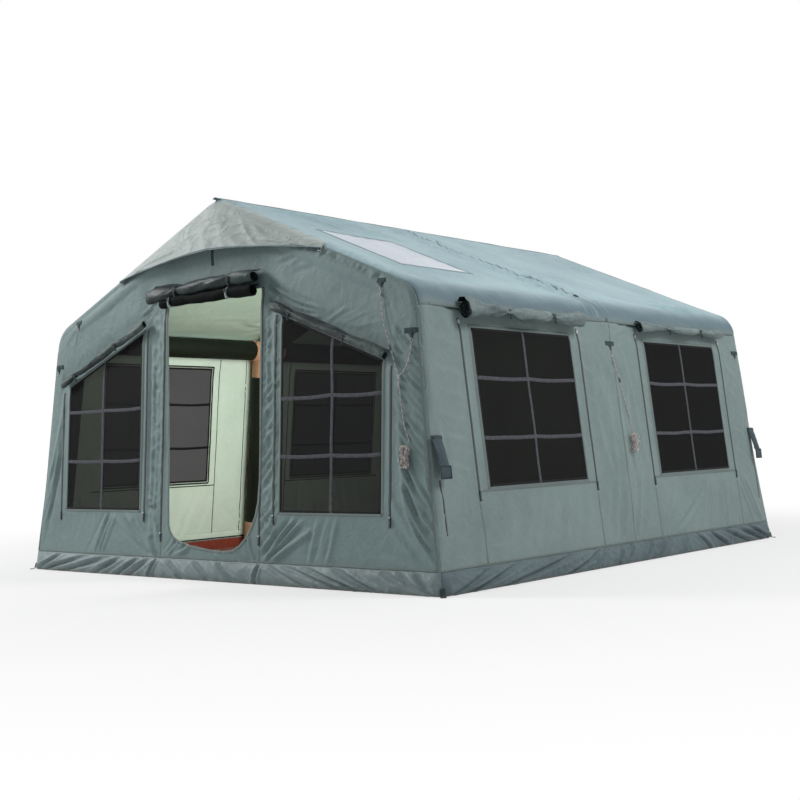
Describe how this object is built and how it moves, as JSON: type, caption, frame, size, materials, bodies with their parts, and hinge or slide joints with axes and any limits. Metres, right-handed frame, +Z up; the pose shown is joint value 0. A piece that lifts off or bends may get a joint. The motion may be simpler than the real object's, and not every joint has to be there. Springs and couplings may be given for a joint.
{
  "type": "inflatable cabin tent",
  "caption": "Walk-in inflatable cabin tent with air-tube frame, leaning cloth walls, net windows with rolled covers, zip door, roof window and guy lines.",
  "frame": {"origin": "on the ground under the middle of the tent", "axes": "+Z up, the door faces -Y, +X to the right of a person who faces the door"},
  "size_m": [4.0886, 4.4886, 2.6],
  "materials": {
    "air_tube": "tightly woven dark olive sleeve over an inflated tube, peach reinforcing sleeves at the elbows and feet",
    "wall_cloth": "matt grey-green coated canvas, pale lining inside",
    "roof_cloth": "grey-green coated cloth with a slight sheen",
    "skirt_cloth": "blue-grey coated cloth, creased",
    "groundsheet": "red-brown coated sheet",
    "netting": "fine black insect net with lilac-grey tapes",
    "clear_film": "soft clear film, slightly creased and milky",
    "roll_cloth": "rolled wall cloth",
    "door_cloth": "rolled door cloth with dark binding",
    "zip_hardware": "dark moulded zip slider and pull",
    "rope": "braided cord, off-white with red fleck"
  },
  "bodies": {
    "tent": {"roof_arch_front": "air_tube", "column_front_left": "air_tube", "column_front_right": "air_tube", "roof_arch_middle": "air_tube", "column_middle_left": "air_tube", "column_middle_right": "air_tube", "roof_arch_back": "air_tube", "column_back_left": "air_tube", "column_back_right": "air_tube", "eave_beam_front_left": "air_tube", "eave_beam_front_right": "air_tube", "ridge_beam_front": "air_tube", "eave_beam_back_left": "air_tube", "eave_beam_back_right": "air_tube", "ridge_beam_back": "air_tube", "groundsheet": "groundsheet", "skirt": "skirt_cloth", "front_wall": "wall_cloth", "back_wall": "wall_cloth", "left_wall": "wall_cloth", "right_wall": "wall_cloth", "roof_panel_left": "roof_cloth", "roof_panel_right": "roof_cloth", "skylight": "clear_film", "visor_front": "roof_cloth", "visor_back": "roof_cloth", "window_net_right_front": "netting", "cover_roll_right_front": "roll_cloth", "window_net_right_back": "netting", "cover_roll_right_back": "roll_cloth", "window_net_left_front": "netting", "cover_roll_left_front": "roll_cloth", "window_net_left_back": "netting", "cover_roll_left_back": "roll_cloth", "window_net_door_left": "netting", "cover_roll_door_left": "roll_cloth", "window_net_door_right": "netting", "cover_roll_door_right": "roll_cloth", "door_roll": "door_cloth", "guy_line_front": "rope", "guy_bridle_front": "rope", "guy_hank_front": "rope", "guy_line_middle": "rope", "guy_hank_middle": "rope"},
    "zip_pull_right_front_a": {"zip_pull_right_front_a": "zip_hardware"},
    "zip_pull_right_front_b": {"zip_pull_right_front_b": "zip_hardware"},
    "zip_pull_right_back_a": {"zip_pull_right_back_a": "zip_hardware"},
    "zip_pull_right_back_b": {"zip_pull_right_back_b": "zip_hardware"},
    "zip_pull_left_front_a": {"zip_pull_left_front_a": "zip_hardware"},
    "zip_pull_left_front_b": {"zip_pull_left_front_b": "zip_hardware"},
    "zip_pull_left_back_a": {"zip_pull_left_back_a": "zip_hardware"},
    "zip_pull_left_back_b": {"zip_pull_left_back_b": "zip_hardware"},
    "zip_pull_end_left_a": {"zip_pull_end_left_a": "zip_hardware"},
    "zip_pull_end_left_b": {"zip_pull_end_left_b": "zip_hardware"},
    "zip_pull_end_right_a": {"zip_pull_end_right_a": "zip_hardware"},
    "zip_pull_end_right_b": {"zip_pull_end_right_b": "zip_hardware"},
    "zip_pull_door_left": {"zip_pull_door_left": "zip_hardware"},
    "zip_pull_door_right": {"zip_pull_door_right": "zip_hardware"},
    "port_flap_front": {"port_flap_front": "skirt_cloth"},
    "port_flap_back": {"port_flap_back": "skirt_cloth"}
  },
  "joints": [
    {"name": "zip_pull_right_front_a_slide", "type": "slide", "parent": "tent", "child": "zip_pull_right_front_a", "axis": [-0.1092, 0, 0.994], "range_m": [0, 1.028]},
    {"name": "zip_pull_right_front_b_slide", "type": "slide", "parent": "tent", "child": "zip_pull_right_front_b", "axis": [-0.1092, 0, 0.994], "range_m": [0, 1.028]},
    {"name": "zip_pull_right_back_a_slide", "type": "slide", "parent": "tent", "child": "zip_pull_right_back_a", "axis": [-0.1092, 0, 0.994], "range_m": [0, 1.028]},
    {"name": "zip_pull_right_back_b_slide", "type": "slide", "parent": "tent", "child": "zip_pull_right_back_b", "axis": [-0.1092, 0, 0.994], "range_m": [0, 1.028]},
    {"name": "zip_pull_left_front_a_slide", "type": "slide", "parent": "tent", "child": "zip_pull_left_front_a", "axis": [0.1092, 0, 0.994], "range_m": [0, 1.028]},
    {"name": "zip_pull_left_front_b_slide", "type": "slide", "parent": "tent", "child": "zip_pull_left_front_b", "axis": [0.1092, 0, 0.994], "range_m": [0, 1.028]},
    {"name": "zip_pull_left_back_a_slide", "type": "slide", "parent": "tent", "child": "zip_pull_left_back_a", "axis": [0.1092, 0, 0.994], "range_m": [0, 1.028]},
    {"name": "zip_pull_left_back_b_slide", "type": "slide", "parent": "tent", "child": "zip_pull_left_back_b", "axis": [0.1092, 0, 0.994], "range_m": [0, 1.028]},
    {"name": "zip_pull_end_left_a_slide", "type": "slide", "parent": "tent", "child": "zip_pull_end_left_a", "axis": [0, 0.0549, 0.9985], "range_m": [0, 1.265]},
    {"name": "zip_pull_end_left_b_slide", "type": "slide", "parent": "tent", "child": "zip_pull_end_left_b", "axis": [0, 0.0549, 0.9985], "range_m": [0, 0.868]},
    {"name": "zip_pull_end_right_a_slide", "type": "slide", "parent": "tent", "child": "zip_pull_end_right_a", "axis": [0, 0.0549, 0.9985], "range_m": [0, 1.265]},
    {"name": "zip_pull_end_right_b_slide", "type": "slide", "parent": "tent", "child": "zip_pull_end_right_b", "axis": [0, 0.0549, 0.9985], "range_m": [0, 0.868]},
    {"name": "zip_pull_door_left_slide", "type": "slide", "parent": "tent", "child": "zip_pull_door_left", "axis": [0, 0.0549, 0.9985], "range_m": [0, 1.594]},
    {"name": "zip_pull_door_right_slide", "type": "slide", "parent": "tent", "child": "zip_pull_door_right", "axis": [0, 0.0549, 0.9985], "range_m": [0, 1.594]},
    {"name": "port_flap_front_hinge", "type": "hinge", "parent": "tent", "child": "port_flap_front", "pos_m": [1.90119, -2.095, 0.92025], "axis": [0, -1, 0], "range_deg": [0, 120]},
    {"name": "port_flap_back_hinge", "type": "hinge", "parent": "tent", "child": "port_flap_back", "pos_m": [1.90119, 2.095, 0.92025], "axis": [0, -1, 0], "range_deg": [0, 120]}
  ]
}
